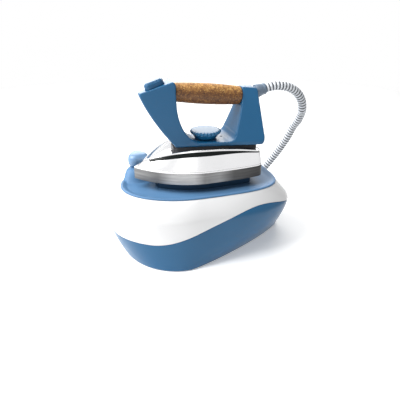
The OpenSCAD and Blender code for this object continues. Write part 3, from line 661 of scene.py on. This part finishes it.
def make_tray():
    """The tray: a skirt inside the shell, a rolled edge on its rim, and a floor in rings that
    close in on the middle. Where the deck and the mound stand higher, they lift it."""
    t = even_angles(lambda a: plan_point(RIM, a), SHELL_POINTS)
    skirt_in, edge_in, floor_in, floor_rings = 3.5, 0.5, 18, 90
    edge = rounded([(skirt_in, TRAY_FLOOR - 3), (skirt_in, RIM_Z), (edge_in, RIM_Z), (edge_in, TRAY_TOP),
                    (4.0, TRAY_TOP), (11, TRAY_FLOOR + 0.6), (floor_in, TRAY_FLOOR)], 2.2, 6)
    rings = []
    for inset, z in edge:
        xy = plan_point(RIM, t, inset)
        on_top = ease((inset - 0.3) / 1.8) if z > RIM_Z - 1.5 else 0
        height = mix(z, np.maximum(z, mound_z(xy[:, 0], xy[:, 1])), on_top)
        rings.append(np.column_stack([xy, height]))
    last = plan_point(RIM, t, floor_in)
    middle = np.array([RIM.middle, 0])
    for k in np.linspace(1, 0.02, floor_rings)[1:]:
        xy = middle + (last - middle) * k
        rings.append(np.column_stack([xy, np.maximum(TRAY_FLOOR, mound_z(xy[:, 0], xy[:, 1]))]))
    tray = loft("tray_with_mound", rings, [PALE_BLUE], closed=False, caps=True)
    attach(tray, "base")
    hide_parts("tray", "filler_deck")


make_tray()


def make_boss():
    """The round boss that closes the mound about the filler neck."""
    profile = rounded([(12.2, 124), (14.4, 124), (13.9, 131), (13.2, 134), (12.2, 134)], 0.5, 3)
    boss = lathe("filler_boss", profile, PALE_BLUE, (*NECK_AT, 0), count=72)
    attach(boss, "base")


make_boss()


# ---- edges of the CAD pieces in sight, and painted shade on the iron rest ----

EDGE_WIDTHS = {"iron_rest": 1.5, "sole_plate": 0.7, "switch_bezel": 0.5, "rocker_boiler": 0.4,
               "rocker_iron": 0.4, "rest_pads": 0.5}

for edged, edge_width in EDGE_WIDTHS.items():
    bevel(NODES[edged], edge_width)
# The iron rest takes the darker blue: painted shade from the iron above it
NODES["iron_rest"].data.materials[0] = PAINTED_SHADE_BLUE


# ---- boiler cap ----

CAP_BASE = 136
LOBES, LOBE_TURN, LOBE_DEPTH, LOBE_FULL_R = 3, 100, 0.15, 12


def make_cap():
    """A knob with three round lobes and hollow flanks for the fingers."""
    def lobes(angle, radius, height):
        wave = 0.5 + 0.5 * math.cos(math.radians(LOBES * (angle - LOBE_TURN)))
        return 1 - LOBE_DEPTH * (1 - wave) ** 1.5 * min(1, radius / LOBE_FULL_R)

    profile = rounded([(0, 0), (16, 0), (18, 2), (19, 7), (19, 12), (17.8, 16), (14, 20), (7, 21.2),
                       (0, 21.4)], 3, 6)
    profile = [(max(r, 0.05), h) for r, h in profile]
    cap = lathe("boiler_cap_knob", profile, CAP_BLUE, (*NECK_AT, CAP_BASE), count=120, reach=lobes)
    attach(cap, "cap")
    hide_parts("boiler_cap")


make_cap()


# ---- iron: chrome cover and spacer ----

SOLE_T, SOLE_HALF, WIDEST = 18, 57.5, 115
OGIVE_R = (WIDEST ** 2 + SOLE_HALF ** 2) / (2 * SOLE_HALF)
TAIL_CORNER, TAIL_TAPER = 0.16, 0.12
SPACER_Z, HANDLE_Z, BEAM_Z = 37, 52, 58.5
SHOULDER_TOP, SHOULDER_FALL, REAR_FALL = 52, 33, 10.8
SPACER_MID, SPACER_HALF, SPACER_CORNER = 135, 70, 0.3


def sole_point(t, inset=0.0, tail_in=0.0):
    """Points of the sole's outline at the angles t: two arcs that meet at the nose, and behind the
    widest place a tail with round corners, drawn in by tail_in."""
    c, s = cosd(t), sind(t)
    drop = OGIVE_R - SOLE_HALF
    reach = np.sqrt((OGIVE_R - inset) ** 2 - drop ** 2)
    tail_len = SOLE_LEN - WIDEST
    front = c < 0
    x = WIDEST + np.where(front, reach * c, (tail_len - tail_in) * bent(c, TAIL_CORNER))
    nose_w = np.sqrt(np.maximum(0, (OGIVE_R - inset) ** 2 - (WIDEST - x) ** 2)) - drop
    taper = 1 - TAIL_TAPER * ((x - WIDEST) / tail_len) ** 2
    tail_w = (SOLE_HALF - inset) * bent(np.abs(s), TAIL_CORNER) * taper
    w = np.maximum(0, np.where(front, nose_w, tail_w))
    return np.stack([x, np.where(s < 0, -1, 1) * w], -1)


def side_width(x):
    """Half the handle's width at x, which grows towards the rear."""
    return 18 + (x - 71) * 0.185


def spacer_point(t, grow=0.0):
    """Points of the spacer's outline at the angles t, 3 mm inside the handle's sides."""
    x = SPACER_MID + (SPACER_HALF + grow) * bent(cosd(t), SPACER_CORNER)
    return np.stack([x, (side_width(x) - 3 + grow) * bent(sind(t), SPACER_CORNER)], -1)


def shoulder_z(x):
    """Height of the cover's shoulder: it climbs steeply from the nose, and falls a little behind."""
    ahead = np.maximum(0, 1 - x / 100)
    behind = np.maximum(0, x / 100 - 1)
    shoulder = SHOULDER_TOP - SHOULDER_FALL * ahead ** 2.2 - REAR_FALL * behind ** 2
    return np.maximum(SOLE_T + 4, shoulder)


def iron_place(ring):
    """A ring from the iron's own origin to its place on the base."""
    return np.asarray(ring) + np.array([NOSE_X, 0, SOLE_Z])


def level_ring(outline, z):
    """An outline of the iron as a ring at the height z."""
    return iron_place(np.column_stack([outline, np.full(len(outline), z)]))


def cover_row(t, k, sink=0.0, lift=0.0):
    """One row of the cover: k climbs the wall to the shoulder at 1 and crosses the top to 2."""
    k = np.broadcast_to(k, t.shape)
    wall = np.minimum(k, 1)
    p = sole_point(t, 2.0 + 11 * wall ** 1.3 + sink, 0.5 + sink)
    q = spacer_point(t, 0.4)
    xy = mix(p, q, np.maximum(0, k - 1)[:, None])
    z = mix(SOLE_T + 2.6, shoulder_z(p[:, 0]), wall)
    z = mix(z, SPACER_Z + 1.5, ease(k - 1)) + lift
    return iron_place(np.column_stack([xy, z]))


def make_cover():
    """The chrome cover: a flange, a wall with a dark band sunk in it, painted near-black as a painted
    reflection, a rounded rim and a dished top.
    """
    t = even_angles(lambda a: sole_point(a, 8, 1), 480)
    along = sole_point(t)[:, 0]
    band_low = 0.735 + 0.125 * ease((along - 110) / 95) + 0.195 * ease((15 - along) / 7)
    band_high, band_sunk = 0.945, 0.7
    flange = [(3.0, 0.1), (0.9, 0.1), (0.5, 0.5), (0.5, 1.9), (0.9, 2.5), (1.5, 2.6)]
    rings = [level_ring(sole_point(t, inset, inset), SOLE_T + z) for inset, z in flange]
    rings += [cover_row(t, k) for k in (0.0, 0.02, 0.06, 0.2, 0.35, 0.5, 0.58)] + [cover_row(t, band_low)]
    dark_from = len(rings) - 1
    rings += [cover_row(t, band_low + 0.004, band_sunk), cover_row(t, band_high, band_sunk)]
    dark_to = len(rings) - 1
    rim = [(band_high + 0.004, 0.0), (0.98, 0.3), (1.0, 0.6), (1.03, 0.9), (1.08, 1.0), (1.12, 0.7),
           (1.15, 0.3), (1.2, 0.1)]
    rings += [cover_row(t, k, 0, lift) for k, lift in rim]
    rings += [cover_row(t, k) for k in (1.3, 1.4, 1.5, 1.6, 1.7, 1.85, 2.0)]
    sheet = 1.4
    for k in (2.0, 1.75, 1.5, 1.2, 0.9, 0.5, 0.1):
        rings.append(cover_row(t, k, sheet, -sheet if k > 1 else 0))
    # The sunk band's rows take the painted dark reflection
    looks = [1 if dark_from <= i < dark_to else 0 for i in range(len(rings))]
    cover = loft("chrome_cover", rings, [CHROME, CHROME_DARK_REFLECTION], looks)
    cover.data.set_sharp_from_angle(angle=math.radians(40))
    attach(cover, "iron")
    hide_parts("sole_cover")


def make_spacer():
    """The dark spacer that keeps the sole's heat from the handle."""
    t = even_angles(spacer_point, 200)
    profile = rounded([(12, SPACER_Z), (0, SPACER_Z), (0, HANDLE_Z), (12, HANDLE_Z)], 2, 4)
    rings = [level_ring(spacer_point(t, -inset), z) for inset, z in profile]
    spacer = loft("heat_spacer_body", rings, [DARK], closed=False, caps=True)
    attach(spacer, "iron")
    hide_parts("heat_spacer")


make_cover()
make_spacer()


# ---- iron: handle ----

def soften(name, sources, voxel, rounds, material):
    """CAD halves that meet at y = 0, welded, remeshed finely and smoothed, to round their edges."""
    welded = bmesh.new()
    for source in sources:
        welded.from_mesh(NODES[source].data)
    seam = 0.01 * MM
    inner = [f for f in welded.faces if all(abs(v.co.y) < seam for v in f.verts)]
    bmesh.ops.delete(welded, geom=inner, context="FACES")
    middle = [v for v in welded.verts if abs(v.co.y) < seam]
    bmesh.ops.remove_doubles(welded, verts=middle, dist=seam)
    mesh = bpy.data.meshes.new(name)
    welded.to_mesh(mesh)
    welded.free()
    whole = bpy.data.objects.new(name, mesh)
    bpy.context.scene.collection.objects.link(whole)
    mesher = whole.modifiers.new("remesh", "REMESH")
    mesher.mode = "VOXEL"
    mesher.voxel_size = voxel * MM
    mesher.use_smooth_shade = True
    smoother = whole.modifiers.new("smooth", "SMOOTH")
    smoother.factor = 0.5
    smoother.iterations = rounds
    bpy.context.view_layer.update()
    graph = bpy.context.evaluated_depsgraph_get()
    shape = bpy.data.meshes.new_from_object(whole.evaluated_get(graph))
    whole.modifiers.clear()
    whole.data = shape
    shape.materials.clear()
    shape.materials.append(material)
    shape.shade_smooth()
    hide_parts(*sources)
    return whole


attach(soften("handle_shell", ("handle_near", "handle_far"), 0.9, 14, BLUE), "iron")

GRIP_A, GRIP_B = (70.5, 137.3), (181, 125.5)
GRIP_END_R, GRIP_MID_R, GRIP_BORE_R = 14.6, 16.6, 5


def make_grip():
    """The cork grip: a tube between the two posts, stoutest in the middle."""
    a = Vector((NOSE_X + GRIP_A[0], 0, SOLE_Z + GRIP_A[1]))
    b = Vector((NOSE_X + GRIP_B[0], 0, SOLE_Z + GRIP_B[1]))
    length = (b - a).length
    profile = [(GRIP_BORE_R, 0.2), (GRIP_END_R - 0.8, 0.2)]
    for k in np.linspace(0.01, 0.985, 40):
        profile.append((mix(GRIP_END_R, GRIP_MID_R, math.sin(math.pi * k)), 0.2 + k * (length - 1)))
    profile += [(GRIP_END_R - 0.8, length - 0.4), (GRIP_BORE_R, length - 0.4)]
    grip = lathe("cork_grip_turned", profile, CORK, a, b - a)
    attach(grip, "iron")
    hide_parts("cork_grip")


make_grip()


# ---- iron: dial, button and collar ----

DIAL_AT, DIAL_R = 123, 26
SCALLOPS, SCALLOP_DEPTH = 26, 0.08


def make_dial():
    """A temperature dial with a scalloped edge above a plain skirt."""
    def edge(angle, radius, height):
        deep = SCALLOP_DEPTH * ease((height - 8.4) / 0.8) * ease((radius - 20) / 4)
        return 1 - deep * (0.5 + 0.5 * math.cos(math.radians(SCALLOPS * angle)))

    profile = [(0.05, 0), (DIAL_R - 8.2, 0), (DIAL_R - 3, 7.8), (DIAL_R - 0.6, 8.8), (DIAL_R, 9.6),
               (DIAL_R, 11.6), (DIAL_R - 0.9, 12.9), (DIAL_R - 3, 13.4), (DIAL_R - 10, 13.8), (0.05, 14)]
    place = (NOSE_X + DIAL_AT, 0, SOLE_Z + BEAM_Z + 1)
    dial = lathe("temperature_dial", rounded(profile, 0.8, 3), DIAL_BLUE, place,
                 count=14 * SCALLOPS, reach=edge)
    dial.data.set_sharp_from_angle(angle=math.radians(50))
    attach(dial, "knob")
    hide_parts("dial")


BUTTON_X, BUTTON_LEN, BUTTON_WIDE = 41, 31.2, 15.2
FACE_X, FACE_Z, FACE_TILT = 15, 139, 17.5


def stadium_ring(length, width, z):
    """A level slot outline with round ends, long on X."""
    count = 96
    a = np.arange(count) * 360 / count
    straight = (length - width) / 2
    x = width / 2 * cosd(a) + np.where(cosd(a) >= 0, straight, -straight)
    return np.column_stack([x, width / 2 * sind(a), np.full(count, z)])


def make_button():
    """A stepped steam button, each step with a rounded edge, square to the front post's sloping
    top face."""
    outline = rounded([(0, -1.5), (0, 7), (1.2, 7), (1.2, 8.2), (3.1, 8.2), (3.1, 9.2), (6.5, 9.4)], 0.7, 4)
    tilt = math.radians(FACE_TILT)
    face = (BUTTON_X, 0, FACE_Z + (BUTTON_X - FACE_X) * math.tan(tilt))
    rings = []
    for inset, rise in outline:
        x, y, z = stadium_ring(BUTTON_LEN - 2 * inset, BUTTON_WIDE - 2 * inset, rise).T
        turned = np.column_stack([x * math.cos(tilt) - z * math.sin(tilt), y,
                                  x * math.sin(tilt) + z * math.cos(tilt)])
        rings.append(iron_place(turned + np.array(face)))
    button = loft("steam_button_cap", rings, [BLUE], closed=False, caps=True)
    button.data.set_sharp_from_angle(angle=math.radians(60))
    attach(button, "trigger")
    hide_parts("steam_button")


COLLAR_LEN = 22


def make_collar():
    """The flared collar that holds the hose."""
    start = Vector(DROP_ROUTE[0])
    out = (Vector(DROP_ROUTE[1]) - start).normalized()
    profile = rounded([(5, -6), (8.1, -6), (8.1, 4), (11, 4), (10.8, 9), (9.6, 15), (9.0, 17), (9.4, 18.5),
                       (9.2, 21), (8.6, COLLAR_LEN), (5, COLLAR_LEN)], 0.8, 3)
    collar = lathe("hose_collar_flared", profile, GREY, start - out * COLLAR_LEN, out, 72)
    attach(collar, "iron")
    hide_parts("hose_collar")


make_dial()
make_button()
make_collar()


# ---- floor ----

FLOOR_R, FLOOR_GLOW = 1600, 0.28


def make_floor():
    """A pale floor. It glows faintly of its own, so that it meets the white background unseen."""
    material = plastic("floor", (0.92, 0.92, 0.92), (0.94, 0.94, 0.94), (0.32, 0.36), grain=0.0)
    shader = material.node_tree.nodes["Principled BSDF"]
    shader.inputs["Emission Color"].default_value = (1, 1, 1, 1)
    shader.inputs["Emission Strength"].default_value = FLOOR_GLOW
    turn = np.arange(0, 360, 5)
    rings = [np.column_stack([FLOOR_R * cosd(turn), FLOOR_R * sind(turn), np.full(len(turn), z)])
             for z in (-0.2, -4.0)]
    floor = loft("floor", rings, [material], closed=False, caps=True)


make_floor()
